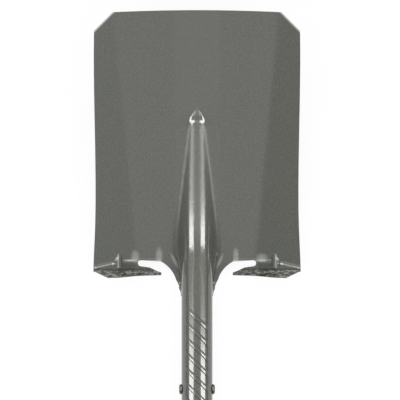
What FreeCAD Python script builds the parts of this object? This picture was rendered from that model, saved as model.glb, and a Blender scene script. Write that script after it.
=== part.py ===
# Square mouth shovel with a D grip, lying on its back with the face of the pan up.
# +Y runs from the grip to the mouth, +X to the right of the pan, +Z up.
# The origin is on the floor, under the middle of the whole shovel.
import FreeCAD, Part
import math
import os
import Sketcher
from FreeCAD import Placement, Rotation, Vector

os.makedirs("parts", exist_ok=True)
doc = FreeCAD.newDocument("square_mouth_shovel")

# Driving dimensions: millimetres, degrees, counts, and shares where the name says so.
# Stations with the words "from heel" are measured along the handle, from the line where
# the pan ends and the steps turn up.
DIMENSIONS = [
    ("overall_length", 1040.0),
    ("blade_run", 294.2),
    ("blade_width", 241.5),
    ("lift_angle", 17.0),
    ("sheet_thickness", 2.0),
    ("pan_drop", 10.0),
    ("mouth_chamfer", 22.0),
    ("mouth_crown", 2.4),
    ("wall_rise_heel", 12.0),
    ("wall_rise_mouth", 4.5),
    ("wall_width_heel", 52.5),
    ("wall_width_mouth", 23.5),
    ("wall_bend_width", 9.0),
    ("side_waist", 1.5),
    ("side_flare", 0.9),
    ("frog_length", 181.0),
    ("frog_half_width", 33.5),
    ("frog_foot_radius", 11.0),
    ("frog_nose_foot_radius", 8.0),
    ("frog_nose_width_share", 0.29),
    ("ridge_bend_start", 10.0),
    ("ridge_bend_length", 50.0),
    ("nose_run", 19.0),
    ("nose_height", 3.9),
    ("nose_radius", 11.0),
    ("neck_half_width", 42.0),
    ("neck_length", 26.0),
    ("neck_start", 22.0),
    ("neck_foot_radius", 2.5),
    ("neck_lip", 1.8),
    ("neck_edge_flare", 12.5),
    ("lip_turn_length", 14.0),
    ("roll_end", 80.0),
    ("seam_gap", 1.4),
    ("socket_radius", 18.3),
    ("socket_length", 260.0),
    ("step_height", 26.5),
    ("step_tip_height", 24.3),
    ("step_shoulder_height", 22.3),
    ("step_shoulder_width", 16.0),
    ("step_corner_height", 4.5),
    ("step_lean_angle", 22.0),
    ("step_bend_radius", 5.0),
    ("step_slant", 5.0),
    ("step_slant_width", 28.75),
    ("tread_rib_radius", 1.8),
    ("tread_rib_height", 0.7),
    ("tread_rib_pitch", 8.6),
    ("tread_rib_count", 6),
    ("tread_rib_inset", 8.0),
    ("tread_start_share", 0.5),
    ("tread_end_share", 0.94),
    ("gusset_inset", 28.0),
    ("gusset_reach", 5.6),
    ("gusset_radius", 5.0),
    ("notch_reach", 69.5),
    ("notch_radius", 3.5),
    ("notch_setback", 2.75),
    ("tongue_tip_drop", 13.6),
    ("tongue_knee_width", 6.4),
    ("tongue_knee_drop", 11.3),
    ("tongue_root_width", 13.5),
    ("tongue_root_drop", 7.75),
    ("rib_height", 0.6),
    ("rib_width", 5.3),
    ("rib_pitch", 17.9),
    ("rib_rise", 31.0),
    ("rib_reach_angle", 52.0),
    ("rib_first_station", 67.5),
    ("rib_count", 10),
    ("rivet_radius", 3.0),
    ("rivet_head_radius", 6.0),
    ("rivet_head_height", 2.8),
    ("rivet_head_round", 2.2),
    ("rivet_end_margin", 29.0),
    ("rivet_spacing", 80.0),
    ("rivet_clearance", 0.1),
    ("plate_thickness", 2.0),
    ("plate_overlap", 5.0),
    ("plate_tail_station", 82.0),
    ("plate_tail_half_width", 6.0),
    ("plate_edge_setback", 2.6),
    ("weld_size", 1.8),
    ("seam_weld_half_width", 1.8),
    ("seam_weld_height", 0.7),
    ("shaft_clearance", 0.3),
    ("shaft_wall", 3.5),
    ("shaft_station", 62.0),
    ("core_overrun", 37.0),
    ("core_clearance", 0.2),
    ("collar_length", 36.0),
    ("collar_overlap", 12.0),
    ("collar_wall", 1.3),
    ("collar_clearance", 0.2),
    ("collar_nose", 4.0),
    ("ferrule_length", 96.0),
    ("ferrule_clearance", 0.3),
    ("ferrule_mouth_wall", 2.0),
    ("ferrule_taper_length", 14.0),
    ("grip_half_width", 66.0),
    ("boss_width", 19.0),
    ("boss_round", 6.0),
    ("arm_thickness", 27.0),
    ("arm_shoulder", 24.0),
    ("arm_waist", 20.0),
    ("arm_corner_round", 13.2),
    ("arm_edge_round", 6.5),
    ("finger_gap", 66.0),
    ("hub_depth", 24.0),
    ("hub_half_width", 19.0),
    ("hub_inner_half_width", 17.0),
    ("crossbar_radius", 12.5),
    ("sleeve_wall", 4.5),
    ("sleeve_clearance", 0.2),
    ("sleeve_round", 2.0),
    ("rod_radius", 4.0),
    ("rod_clearance", 0.1),
    ("cap_radius", 9.0),
    ("cap_depth", 4.0),
    ("cap_clearance", 0.15),
    ("cap_round", 1.2),
    ("plug_length", 84.0),
    ("pin_radius", 3.0),
    ("pin_first_station", 24.0),
    ("pin_spacing", 46.0),
    ("pin_recess", 0.4),
]

sheet = doc.addObject("Spreadsheet::Sheet", "Sizes")
for line, (alias, value) in enumerate(DIMENSIONS, start=1):
    sheet.set(f"A{line}", alias)
    sheet.set(f"B{line}", str(value))
    sheet.setAlias(f"B{line}", alias)
doc.recompute()
size = {alias: float(sheet.get(alias)) for alias, _ in DIMENSIONS}

# Places that several pieces share, as expressions over the sheet.
HEEL = "(Sizes.overall_length / 2 - Sizes.blade_run)"
AXIS = "(Sizes.socket_radius + Sizes.plate_thickness)"
SHAFT_RADIUS = "(Sizes.socket_radius - Sizes.sheet_thickness - Sizes.shaft_clearance)"
CROSSBAR = "(Sizes.socket_radius + Sizes.plate_thickness - Sizes.overall_length / 2)"
SLEEVE_RADIUS = "(Sizes.crossbar_radius + Sizes.sleeve_clearance + Sizes.sleeve_wall)"
HUB = f"({SLEEVE_RADIUS} + Sizes.finger_gap)"
FERRULE_END = f"({HUB} + Sizes.hub_depth + Sizes.ferrule_length)"
FERRULE_BORE = f"({SHAFT_RADIUS} + Sizes.ferrule_clearance)"

# The same sizes as numbers, for the shapes that are worked out point by point.
# Those shapes are made round the handle's axis, with the heel at zero, and then placed.
half_width = size["blade_width"] / 2
thickness = size["sheet_thickness"]
tube_radius = size["socket_radius"]
lift = math.radians(size["lift_angle"])
run = size["blade_run"]
overrun = size["mouth_chamfer"]


def sheet_piece(label, shape):
    """A piece made round the handle's axis at the heel, put in its place."""
    piece = doc.addObject("Part::Feature", label)
    piece.Shape = shape
    piece.Label = label
    piece.setExpression("Placement.Base.y", HEEL)
    piece.setExpression("Placement.Base.z", AXIS)
    return piece


# The pressed sheet: sections across the handle
ARC_STEPS = 8
FLANK_STEPS = 3
FOOT_STEPS = 6
EDGE_STEPS = 3

# Most that ridge and foot may take of a section, so that some straight flank is left.
ROUND_SHARE = 0.985


def floor_height(along):
    """Height of the pan's floor over the handle's axis, at a station from the heel."""
    return along * math.tan(lift) - size["pan_drop"]


def smooth(share):
    """Runs from 0 to 1 with level ends."""
    share = min(max(share, 0.0), 1.0)
    return share * share * (3 - 2 * share)


nose_start = size["frog_length"] - size["nose_run"]


neck_foot_width = tube_radius + size["neck_foot_radius"]


def risen(along):
    """Rise of the ridge by a station, for a slope of one at its end."""
    bend = size["ridge_bend_length"]
    past = max(along - size["ridge_bend_start"], 0.0)
    return past - bend * (1 - math.exp(-past / bend))


ridge_slope = (floor_height(nose_start) + size["nose_height"] - tube_radius) / risen(nose_start)


def ridge_height(along):
    """The frog's ridge leaves the tube level and bends up towards the mouth."""
    return tube_radius + ridge_slope * risen(along)


def nose_share(along):
    """The frog's height near its nose, as a share of the full height."""
    return 1 - smooth((along - nose_start) / size["nose_run"])


def frog_half_width(along):
    """Half the width over the frog's feet, drawn in to the tube at the neck."""
    share = min(along / size["frog_length"], 1.0)
    width = size["frog_half_width"] * (1 - (1 - size["frog_nose_width_share"]) * share)
    drawn_in = smooth((size["neck_start"] - along) / (size["neck_start"] + size["neck_length"]))
    return width + (neck_foot_width - width) * drawn_in


def frog_section(along):
    """Ridge height, ridge radius, flank angle, flank length, foot turn, foot length, edge."""
    share = nose_share(along)
    height = (ridge_height(along) - floor_height(along)) * share
    width = frog_half_width(along)
    radius = tube_radius
    foot = size["frog_foot_radius"]
    if along < 0:
        foot += (size["neck_foot_radius"] - foot) * (-along / size["neck_length"])
    else:
        forward = along / size["frog_length"]
        radius -= (radius - size["nose_radius"]) * forward**2
        foot += (size["frog_nose_foot_radius"] - foot) * forward
        foot *= 0.3 + 0.7 * share
    reach = radius + foot
    if share < 1:
        width = min(width, math.sqrt(max(2 * height * reach / ROUND_SHARE - height**2, 0.0)))
    if height > 0:
        reach = min(reach, ROUND_SHARE * (width**2 + height**2) / (2 * height))
    foot = max(reach - radius, size["neck_foot_radius"])
    reach = radius + foot
    rise = reach - height
    angle = math.atan2(width, rise) - math.acos(min(1.0, reach / math.hypot(width, rise)))
    flank = math.sqrt(max(width**2 + rise**2 - reach**2, 0.0))
    outer = size["neck_half_width"]
    if along < 0:
        straight = size["neck_length"] * 0.25
        drawn_in = smooth((-along - straight) / (size["neck_length"] - straight))
        outer += (width + size["neck_lip"] - outer) * drawn_in
    ridge = floor_height(along) + height
    return ridge, radius, angle, flank, -angle, foot * angle, outer - width


def rolled_section(along):
    """Behind the neck the sheet's lips turn down and then roll round the tube."""
    back = -along - size["neck_length"]
    lip_arc = size["neck_foot_radius"] * math.pi / 2
    shortest = thickness * 0.15
    if back <= size["lip_turn_length"]:
        share = back / size["lip_turn_length"]
        turn = -math.pi / 2 * (1 - share)
        arc = lip_arc
        edge = size["neck_lip"]
        neck_depth = -floor_height(-size["neck_length"])
        depth = neck_depth + (tube_radius - neck_depth) * share
    else:
        rolled = size["roll_end"] - size["neck_length"] - size["lip_turn_length"]
        share = smooth((back - size["lip_turn_length"]) / rolled)
        full_turn = math.pi / 2 - size["seam_gap"] / 2 / tube_radius
        turn = full_turn * share
        arc = lip_arc + ((tube_radius - shortest) * full_turn - lip_arc) * share
        edge = size["neck_lip"] + (shortest - size["neck_lip"]) * share
        depth = tube_radius
    curved = arc * (math.sin(turn) / turn if abs(turn) > 1e-6 else 1.0)
    flank = max(depth - curved - edge * math.cos(turn), shortest)
    return tube_radius, tube_radius, math.pi / 2, flank, turn, arc, edge


def half_section(along):
    """Points of the sheet's face from the ridge to its right-hand edge."""
    near_nose = size["frog_length"] - size["nose_run"] * 0.055
    flat = along > near_nose
    station = near_nose if flat else along
    if station >= -size["neck_length"]:
        section = frog_section(station)
    else:
        section = rolled_section(station)
    ridge, radius, angle, flank, turn, arc, edge = section
    points = [(0.0, ridge)]
    for step in range(1, ARC_STEPS + 1):
        part = angle * step / ARC_STEPS
        points.append((radius * math.sin(part), ridge - radius * (1 - math.cos(part))))
    x, z = points[-1]
    for step in range(1, FLANK_STEPS + 1):
        part = flank * step / FLANK_STEPS
        points.append((x + part * math.cos(angle), z - part * math.sin(angle)))
    x, z = points[-1]
    for step in range(1, FOOT_STEPS + 1):
        part = turn * step / FOOT_STEPS
        if abs(turn) > 1e-6:
            bend = arc / turn
            across = bend * (math.sin(angle + part) - math.sin(angle))
            down = bend * (math.cos(angle + part) - math.cos(angle))
        else:
            across = arc * step / FOOT_STEPS * math.cos(angle)
            down = -arc * step / FOOT_STEPS * math.sin(angle)
        points.append((x + across, z + down))
    x, z = points[-1]
    for step in range(1, EDGE_STEPS + 1):
        part = edge * step / EDGE_STEPS
        points.append((x + part * math.cos(angle + turn), z - part * math.sin(angle + turn)))
    if flat:
        return [(x, floor_height(along)) for x, _ in points]
    return points


def spread(start, end, count):
    """Evenly spaced stations from start up to, but without, end."""
    return [start + (end - start) * step / count for step in range(count)]


def sheet_stations():
    """Stations along the handle, closer together where the sheet curves more."""
    nose_end = size["frog_length"]
    before_nose = nose_end + size["nose_run"] / 3
    stations = spread(run + overrun, before_nose, 6)
    stations += spread(before_nose, nose_end, 3)
    stations += spread(nose_end, nose_start, 9)
    stations += spread(nose_start, 0.0, 12)
    stations += spread(0.0, -size["neck_length"], 9)
    lip_end = -size["neck_length"] - size["lip_turn_length"]
    stations += spread(-size["neck_length"], lip_end, 4)
    stations += spread(lip_end, -size["roll_end"], 9)
    stations += spread(-size["roll_end"], -size["socket_length"], 8)
    stations.append(-size["socket_length"])
    return stations


def at_station(x, along, height):
    """A point from its station at the heel, and its height over the handle's axis."""
    return Vector(x, along, height)


def tangent_at(points, place):
    """Direction of a row of points at one of them, for uneven steps too."""
    if place == 0:
        return points[1] - points[0]
    if place == len(points) - 1:
        return points[-1] - points[-2]
    before = points[place] - points[place - 1]
    after = points[place + 1] - points[place]
    return before * (after.Length / before.Length) + after * (before.Length / after.Length)


def offset_grid(rows, distance):
    """The other side of a sheet: each point moved square to the surface."""
    columns = list(zip(*rows))
    moved = []
    for i, row in enumerate(rows):
        line = []
        for j, point in enumerate(row):
            normal = tangent_at(columns[j], i).cross(tangent_at(row, j))
            normal.normalize()
            line.append(point - normal * distance)
        moved.append(line)
    return moved


def smooth_surface(rows):
    """A cubic surface that follows a grid of points."""
    degree = 3
    spans_along = len(rows) - degree
    spans_across = len(rows[0]) - degree
    surface = Part.BSplineSurface()
    surface.buildFromPolesMultsKnots(
        rows,
        [degree + 1] + [1] * (spans_along - 1) + [degree + 1],
        [degree + 1] + [1] * (spans_across - 1) + [degree + 1],
        [float(knot) for knot in range(spans_along + 1)],
        [float(knot) for knot in range(spans_across + 1)],
        False,
        False,
        degree,
        degree,
    )
    return surface


def border(surface):
    """The four border curves of a surface."""
    first, last, left, right = surface.bounds()
    curves = [surface.uIso(first), surface.uIso(last), surface.vIso(left), surface.vIso(right)]
    return [curve.toShape() for curve in curves]


def solid_between(upper_rows, lower_rows):
    """A closed solid between two grids of points with the same layout."""
    upper = smooth_surface(upper_rows)
    lower = smooth_surface(lower_rows)
    faces = [upper.toShape(), lower.toShape()]
    for upper_edge, lower_edge in zip(border(upper), border(lower)):
        faces.append(Part.makeRuledSurface(upper_edge, lower_edge, 1))
    shell = Part.makeShell(faces)
    shell.sewShape()
    solid = Part.makeSolid(shell)
    if solid.Volume < 0:
        solid.reverse()
    return solid


def middle_strip():
    """Frog, neck and rolled socket, with the strip of flat floor beside the frog."""
    rows = []
    for along in sheet_stations():
        half = half_section(along)
        left = [at_station(-x, along, z) for x, z in reversed(half)]
        right = [at_station(x, along, z) for x, z in half[1:]]
        rows.append(left + right)
    return solid_between(rows, offset_grid(rows, thickness))


# The two sides of the pan, each with its wall and its forward-turned step
def on_pan(x, along_pan, above):
    """A point from its distance along the pan and its height square to the floor."""
    along = along_pan * math.cos(lift) - above * math.sin(lift)
    height = along_pan * math.sin(lift) + above * math.cos(lift) - size["pan_drop"]
    return at_station(x, along, height)


def wall_rise(x, width, rise):
    """The side wall turns up from the floor in a soft bend, then runs straight to its edge."""
    past = x - half_width + width
    reach = size["wall_bend_width"] / 2
    slope = rise / width
    if past <= -reach:
        return 0.0
    if past < reach:
        return slope * (past + reach) ** 2 / (4 * reach)
    return slope * past


def mouth_place(x):
    """Where a section meets the mouth, so that the bend runs straight from heel to mouth."""
    inner = size["neck_half_width"]
    heel_bend = half_width - size["wall_width_heel"]
    mouth_bend = half_width - size["wall_width_mouth"]
    if x >= half_width:
        return x
    if x <= heel_bend:
        return inner + (x - inner) * (mouth_bend - inner) / (heel_bend - inner)
    return half_width + (x - half_width) * size["wall_width_mouth"] / size["wall_width_heel"]


def step_lip_height(x):
    """Height of the step's lip over its bend line."""
    heights = [
        (size["neck_half_width"], size["step_tip_height"]),
        (half_width - size["step_slant_width"], size["step_height"]),
        (half_width - size["step_shoulder_width"], size["step_shoulder_height"]),
        (half_width, size["step_corner_height"]),
    ]
    x = min(x, half_width)
    for (inner, start), (outer, end) in zip(heights, heights[1:]):
        if x <= outer:
            break
    return start + (end - start) * (x - inner) / (outer - inner)


def side_lines(x):
    """Bend line, and the directions to the lip and to the mouth, at one place across."""
    slant_start = half_width - size["step_slant_width"]
    slant = size["step_slant"] * max(0.0, (x - slant_start) / size["step_slant_width"])
    mouth = Vector(
        run / math.cos(lift) + overrun,
        wall_rise(mouth_place(x), size["wall_width_mouth"], size["wall_rise_mouth"]),
        0,
    )
    corner = Vector(-slant, wall_rise(x, size["wall_width_heel"], size["wall_rise_heel"]), 0)
    lean = math.radians(size["step_lean_angle"])
    to_lip = Vector(-math.sin(lean), math.cos(lean), 0)
    to_mouth = mouth - corner
    to_mouth.normalize()
    return mouth, corner, to_lip, to_mouth


def side_profile(x, mirror):
    """Section of pan and step, as a closed wire: level with x at the step."""
    mouth, corner, to_lip, to_mouth = side_lines(x)
    lip = corner + to_lip * step_lip_height(x)
    inward = to_mouth + to_lip
    inward.normalize()
    half_angle = to_mouth.getAngle(to_lip) / 2
    radius = min(size["step_bend_radius"], step_lip_height(x) * math.tan(half_angle) * 0.9)
    tangent = radius / math.tan(half_angle)
    centre = corner + inward * (radius / math.sin(half_angle))
    under_floor = Vector(to_mouth.y, -to_mouth.x, 0) * thickness
    behind_step = Vector(-to_lip.y, to_lip.x, 0) * thickness
    floor_end = corner + to_mouth * tangent
    step_start = corner + to_lip * tangent
    inside = [mouth, floor_end, centre - inward * radius, step_start, lip]
    outside = [
        lip + behind_step,
        step_start + behind_step,
        centre - inward * (radius + thickness),
        floor_end + under_floor,
        mouth + under_floor,
    ]
    places = [mouth_place(x), x, x, x, x]
    a, b, c, d, e = [on_pan(mirror * m, p.x, p.y) for m, p in zip(places, inside)]
    f, g, h, i, j = [on_pan(mirror * m, p.x, p.y) for m, p in zip(reversed(places), outside)]
    edges = [
        Part.makeLine(a, b),
        Part.Arc(b, c, d).toShape(),
        Part.makeLine(d, e),
        Part.makeLine(e, f),
        Part.makeLine(f, g),
        Part.Arc(g, h, i).toShape(),
        Part.makeLine(i, j),
        Part.makeLine(j, a),
    ]
    return Part.Wire(edges)


def side_panel(mirror):
    """One side of the pan with its step, lofted from the frog's edge to the side."""
    heel_bend = half_width - size["wall_width_heel"]
    bend_shares = [-0.5, -0.3, -0.1, 0.1, 0.3, 0.5, 0.8]
    bend = [heel_bend + share * size["wall_bend_width"] for share in bend_shares]
    turns = [
        heel_bend + 1.1 * size["wall_bend_width"],
        half_width - size["step_slant_width"],
        half_width - size["step_shoulder_width"],
        half_width,
        half_width + 2 * size["side_flare"],
    ]
    stations = spread(size["neck_half_width"], bend[0], 2) + bend
    for (inner, outer), count in zip(zip(turns, turns[1:]), (2, 2, 4, 1)):
        stations += spread(inner, outer, count)
    stations.append(turns[-1])
    return Part.makeLoft([side_profile(x, mirror) for x in stations], True, True)


def on_sheet(x, point, mirror):
    """A place on the inside of pan or step, from its place in the side's section."""
    return on_pan(mirror * x, point.x, point.y)


def tread_rib(x, mirror):
    """A low rib up the step, for grip under the foot."""
    _, corner, to_lip, _ = side_lines(x)
    rise = step_lip_height(x)
    sunk = Vector(-to_lip.y, to_lip.x, 0) * (size["tread_rib_radius"] - size["tread_rib_height"])
    foot = on_sheet(x, corner + to_lip * (rise * size["tread_start_share"]) + sunk, mirror)
    top = on_sheet(x, corner + to_lip * (rise * size["tread_end_share"]) + sunk, mirror)
    return Part.makeCylinder(size["tread_rib_radius"], (top - foot).Length, foot, top - foot)


def gusset(mirror):
    """A rounded dart pressed across the bend between pan and step."""
    x = half_width - size["gusset_inset"]
    _, corner, to_lip, to_mouth = side_lines(x)
    inward = to_lip + to_mouth
    inward.normalize()
    root = corner - inward * (thickness / 2)
    side = size["gusset_reach"] * 4
    corners = [root, root + to_mouth * side, root + to_lip * side, root]
    wedge = Part.Face(Part.makePolygon([on_sheet(x, point, mirror) for point in corners]))
    radius = size["gusset_radius"]
    wedge.translate(Vector(-radius * 2, 0, 0))
    wedge = wedge.extrude(Vector(radius * 4, 0, 0))
    ridge = corner + inward * (size["gusset_reach"] - radius)
    start = on_sheet(x, ridge + (to_mouth - to_lip) * side, mirror)
    end = on_sheet(x, ridge + (to_lip - to_mouth) * side, mirror)
    return Part.makeCylinder(radius, (end - start).Length, start, end - start).common(wedge)


def step_details(mirror):
    """The tread ribs and the dart of one side."""
    first = size["neck_half_width"] + size["tread_rib_inset"]
    places = [first + k * size["tread_rib_pitch"] for k in range(int(size["tread_rib_count"]))]
    return [tread_rib(x, mirror) for x in places] + [gusset(mirror)]


# Outlines, cut straight down through the sheet
prism_bottom = -2 * tube_radius
prism_height = run


def prism(edges):
    """A tall prism over a closed outline."""
    face = Part.Face(Part.Wire(edges))
    face.translate(Vector(0, 0, prism_bottom))
    return face.extrude(Vector(0, 0, prism_height))


def flat_point(x, along):
    return Vector(x, along, 0)


def polygon(points):
    """Straight edges through the points, in order."""
    return [Part.makeLine(a, b) for a, b in zip(points, points[1:])]


def pan_outline():
    """Everything inside this outline is kept: crowned mouth and two cut corners."""
    chamfer = size["mouth_chamfer"]
    corner = run - size["mouth_crown"]
    wide = half_width + chamfer
    tail = -size["socket_length"] - chamfer
    left_cut = flat_point(chamfer - half_width, corner)
    right_cut = flat_point(half_width - chamfer, corner)
    crown = Part.Arc(right_cut, flat_point(0, run), left_cut).toShape()
    shape_shares = [(0.0, 0.0), (0.45, -0.55), (0.72, -1.0), (0.88, -0.4)]
    drawn = [(along, move * size["side_waist"]) for along, move in shape_shares]
    drawn += [(1.0, size["side_flare"]), (1.1, size["side_flare"] * 1.2)]
    right = [flat_point(half_width + move, (corner - chamfer) * (1 - along)) for along, move in drawn]
    left = [Vector(-point.x, point.y, 0) for point in right]
    right_side = Part.BSplineCurve()
    right_side.interpolate(right)
    left_side = Part.BSplineCurve()
    left_side.interpolate(left)
    edges = [crown, Part.makeLine(left_cut, left[0]), left_side.toShape()]
    edges += polygon([left[-1], flat_point(-wide, tail), flat_point(wide, tail), right[-1]])
    return edges + [right_side.toShape(), Part.makeLine(right[0], right_cut)]


def neck_edge(along):
    """Half the width of the neck's cut edge, at a station behind the heel."""
    spare = size["neck_half_width"] - neck_foot_width
    return neck_foot_width + spare * math.exp(along / size["neck_edge_flare"])


def notch_outline(mirror):
    """The slot between pan and step, and the space beside the neck."""
    slot_end = size["notch_reach"] - size["notch_radius"]
    slot_middle = -size["notch_setback"]
    slot_top = slot_middle + size["notch_radius"]
    slot_bottom = slot_middle - size["notch_radius"]
    inner = size["neck_half_width"]
    heel_cut = slot_middle / 3
    neck_end = -size["neck_length"] - size["lip_turn_length"]

    def at(x, along):
        return flat_point(mirror * x, along)

    stations = spread(heel_cut, neck_end, 7) + [neck_end]
    neck_curve = Part.BSplineCurve()
    neck_curve.interpolate([at(neck_edge(along - heel_cut), along) for along in stations])
    slot = Part.Arc(
        at(slot_end, slot_bottom), at(size["notch_reach"], slot_middle), at(slot_end, slot_top)
    )
    inside = polygon([at(slot_end, slot_top), at(neck_edge(0.0), heel_cut)])
    tongue = polygon(
        [
            at(neck_edge(neck_end - heel_cut), neck_end),
            at(inner, neck_end),
            at(inner, -size["tongue_tip_drop"]),
            at(inner + size["tongue_knee_width"], -size["tongue_knee_drop"]),
            at(inner + size["tongue_root_width"], -size["tongue_root_drop"]),
            at(slot_end, slot_bottom),
        ]
    )
    return [slot.toShape()] + inside + [neck_curve.toShape()] + tongue


# Raised ribs that wind across the front of the socket
# Across a rib: place as a share of its width, height as a share of its height
RIB_PROFILE = [
    (-0.5, 0.05),
    (-0.45, 0.6),
    (-0.36, 1.0),
    (-0.2, 1.0),
    (0.0, 1.0),
    (0.2, 1.0),
    (0.36, 1.0),
    (0.45, 0.6),
    (0.5, 0.05),
]


def rib(index):
    """One rib: a band on the tube, sunk to half the sheet so that it joins it."""
    reach = math.radians(size["rib_reach_angle"])
    middle = -size["rib_first_station"] - index * size["rib_pitch"]
    slope = math.atan2(size["rib_rise"], 2 * reach * tube_radius)
    rounds = 16
    top_rows = []
    root_rows = []
    for step in range(rounds + 1):
        share = 2 * step / rounds - 1
        height = size["rib_height"] * (1 - share**8)
        top = []
        root = []
        for side_share, height_share in RIB_PROFILE:
            side = size["rib_width"] * side_share
            turned = reach * share + side * math.sin(slope) / tube_radius
            along = middle - share * size["rib_rise"] / 2 + side * math.cos(slope)
            ray = Vector(math.sin(turned), 0, math.cos(turned))
            start = at_station(0, along, 0)
            top.append(start + ray * (tube_radius + height * height_share))
            root.append(start + ray * (tube_radius - thickness / 2))
        top_rows.append(top)
        root_rows.append(root)
    return solid_between(top_rows, root_rows)


def cross_hole(along, radius):
    """A hole right across the handle at a station from the heel."""
    start = at_station(-half_width, along, 0)
    return Part.makeCylinder(radius, 2 * half_width, start, Vector(1, 0, 0))


rear_rivet = size["rivet_end_margin"] - size["socket_length"]
rivet_stations = [rear_rivet, rear_rivet + size["rivet_spacing"]]
rivet_hole_radius = size["rivet_radius"] + size["rivet_clearance"]


def pressed_head():
    """Pan, steps, frog, neck and socket, all of one sheet."""
    join_tolerance = thickness * 0.005
    head = middle_strip().fuse([side_panel(-1), side_panel(1)], join_tolerance)
    head = head.fuse(step_details(-1) + step_details(1))
    head = head.common(prism(pan_outline()))
    head = head.cut([prism(notch_outline(-1)), prism(notch_outline(1))])
    head = head.fuse([rib(index) for index in range(int(size["rib_count"]))])
    head = head.cut([cross_hole(along, rivet_hole_radius) for along in rivet_stations])
    return head.Solids[0] if len(head.Solids) == 1 else head


blade = sheet_piece("blade", pressed_head())


# The plate behind the frog and the welds along it
def plate_half_width(along):
    """Half the width of the plate, inside the edge of the neck."""
    if along >= 0:
        wide = min(frog_half_width(along) + size["plate_overlap"], size["neck_half_width"])
        return min(wide, size["neck_half_width"] - size["plate_edge_setback"])
    return neck_edge(along) - size["plate_edge_setback"]


def plate_outline(grow):
    """Outline of the plate, grown sideways for the welds."""
    nose = size["frog_length"] + size["plate_overlap"]
    round_start = nose - plate_half_width(size["frog_length"])
    neck_end = -size["neck_length"] - size["lip_turn_length"]
    tail = -size["plate_tail_station"]
    tail_width = size["plate_tail_half_width"] + grow
    edge = spread(round_start, 0.0, 4) + spread(0.0, neck_end, 8) + [neck_end]
    right = [flat_point(plate_half_width(along) + grow, along) for along in edge]
    left = [Vector(-point.x, point.y, 0) for point in right]
    crown = Part.Arc(left[0], flat_point(0, nose + grow), right[0]).toShape()
    tail_points = [right[-1], flat_point(tail_width, tail), flat_point(-tail_width, tail), left[-1]]
    return [crown] + polygon(right) + polygon(tail_points) + polygon(list(reversed(left)))


def under_sheet_band(depth):
    """A bent band just under the pan's floor and the socket, as wide as the pan."""
    nose = size["frog_length"] + 2 * size["plate_overlap"]
    drop = thickness / math.cos(lift) + size["pan_drop"]
    bend = (drop - tube_radius) / math.tan(lift)
    tail = -size["roll_end"] - size["mouth_chamfer"]
    bend_below = bend + depth * math.tan(lift / 2)
    nose_height = nose * math.tan(lift) - drop
    lower_nose = (nose + depth * math.sin(lift), nose_height - depth * math.cos(lift))
    top = [
        at_station(0, nose, nose_height),
        at_station(0, bend, -tube_radius),
        at_station(0, tail, -tube_radius),
    ]
    bottom = [
        at_station(0, tail, -tube_radius - depth),
        at_station(0, bend_below, -tube_radius - depth),
        at_station(0, *lower_nose),
    ]
    face = Part.Face(Part.makePolygon(top + bottom + top[:1]))
    face.translate(Vector(-half_width, 0, 0))
    return face.extrude(Vector(2 * half_width, 0, 0))


plate_band = under_sheet_band(size["plate_thickness"])
back_plate = sheet_piece("back_plate", plate_band.common(prism(plate_outline(0.0))))


def weld_beads():
    """A bead on each side of the plate, in the corner between plate and pan."""
    band = under_sheet_band(size["weld_size"])
    ring = prism(plate_outline(size["weld_size"])).cut(prism(plate_outline(0.0)))
    beads = band.common(ring)
    neck_end = -size["neck_length"]
    keep = Part.makeBox(
        2 * half_width,
        size["frog_length"] + size["neck_length"] + overrun,
        prism_height,
        flat_point(-half_width, neck_end) + Vector(0, 0, prism_bottom),
    )
    return beads.common(keep)


back_plate_weld = sheet_piece("back_plate_weld", weld_beads())


def seam_weld():
    """A low bead that closes the socket's seam, from the plate to the socket's mouth."""
    outer = tube_radius + size["seam_weld_height"]
    start = at_station(0, -size["socket_length"] + size["collar_overlap"] + size["weld_size"], 0)
    length = size["socket_length"] - size["plate_tail_station"]
    length -= size["collar_overlap"] + 2 * size["weld_size"]
    ring = Part.makeCylinder(outer, length, start, Vector(0, 1, 0))
    ring = ring.cut(Part.makeCylinder(tube_radius, length, start, Vector(0, 1, 0)))
    width = size["seam_weld_half_width"]
    corner = start + Vector(-width, 0, -2 * tube_radius)
    return ring.common(Part.makeBox(2 * width, length, 2 * tube_radius, corner))


socket_seam_weld = sheet_piece("socket_seam_weld", seam_weld())


# Turned pieces: a closed outline in a plane through the axis, spun round that axis
def origin_plane(body, role):
    return next(item for item in body.Origin.OriginFeatures if item.Role == role)


def new_body(name, x="0", y="0", z=AXIS):
    """A body whose local origin is placed by expressions over the sheet."""
    body = doc.addObject("PartDesign::Body", name)
    body.Label = name
    body.setExpression("Placement.Base.x", x)
    body.setExpression("Placement.Base.y", y)
    body.setExpression("Placement.Base.z", z)
    return body


def new_sketch(body, name, role, shift="0"):
    """A sketch on one of the body's own planes, moved along its own first axis."""
    sketch = body.newObject("Sketcher::SketchObject", name)
    sketch.AttachmentSupport = [(origin_plane(body, role), "")]
    sketch.MapMode = "FlatFace"
    sketch.setExpression("AttachmentOffset.Base.x", shift)
    return sketch


def closed_outline(sketch, points):
    """Straight edges through points whose two coordinates are expressions."""
    values = [[doc_value(text) for text in pair] for pair in points]
    count = len(points)
    for number in range(count):
        here = Vector(*values[number], 0)
        there = Vector(*values[(number + 1) % count], 0)
        sketch.addGeometry(Part.LineSegment(here, there), False)
    for number in range(count):
        following = (number + 1) % count
        sketch.addConstraint(Sketcher.Constraint("Coincident", number, 2, following, 1))
    for number, pair in enumerate(points):
        for kind, axis, text, value in zip(("X", "Y"), (-2, -1), pair, values[number]):
            if text == "0":
                sketch.addConstraint(Sketcher.Constraint("PointOnObject", number, 1, axis))
                continue
            bound = Sketcher.Constraint("Distance" + kind, -1, 1, number, 1, value)
            place = sketch.addConstraint(bound)
            sketch.renameConstraint(place, f"corner_{number}_{kind.lower()}")
            sketch.setExpression(f"Constraints.corner_{number}_{kind.lower()}", text)


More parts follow.
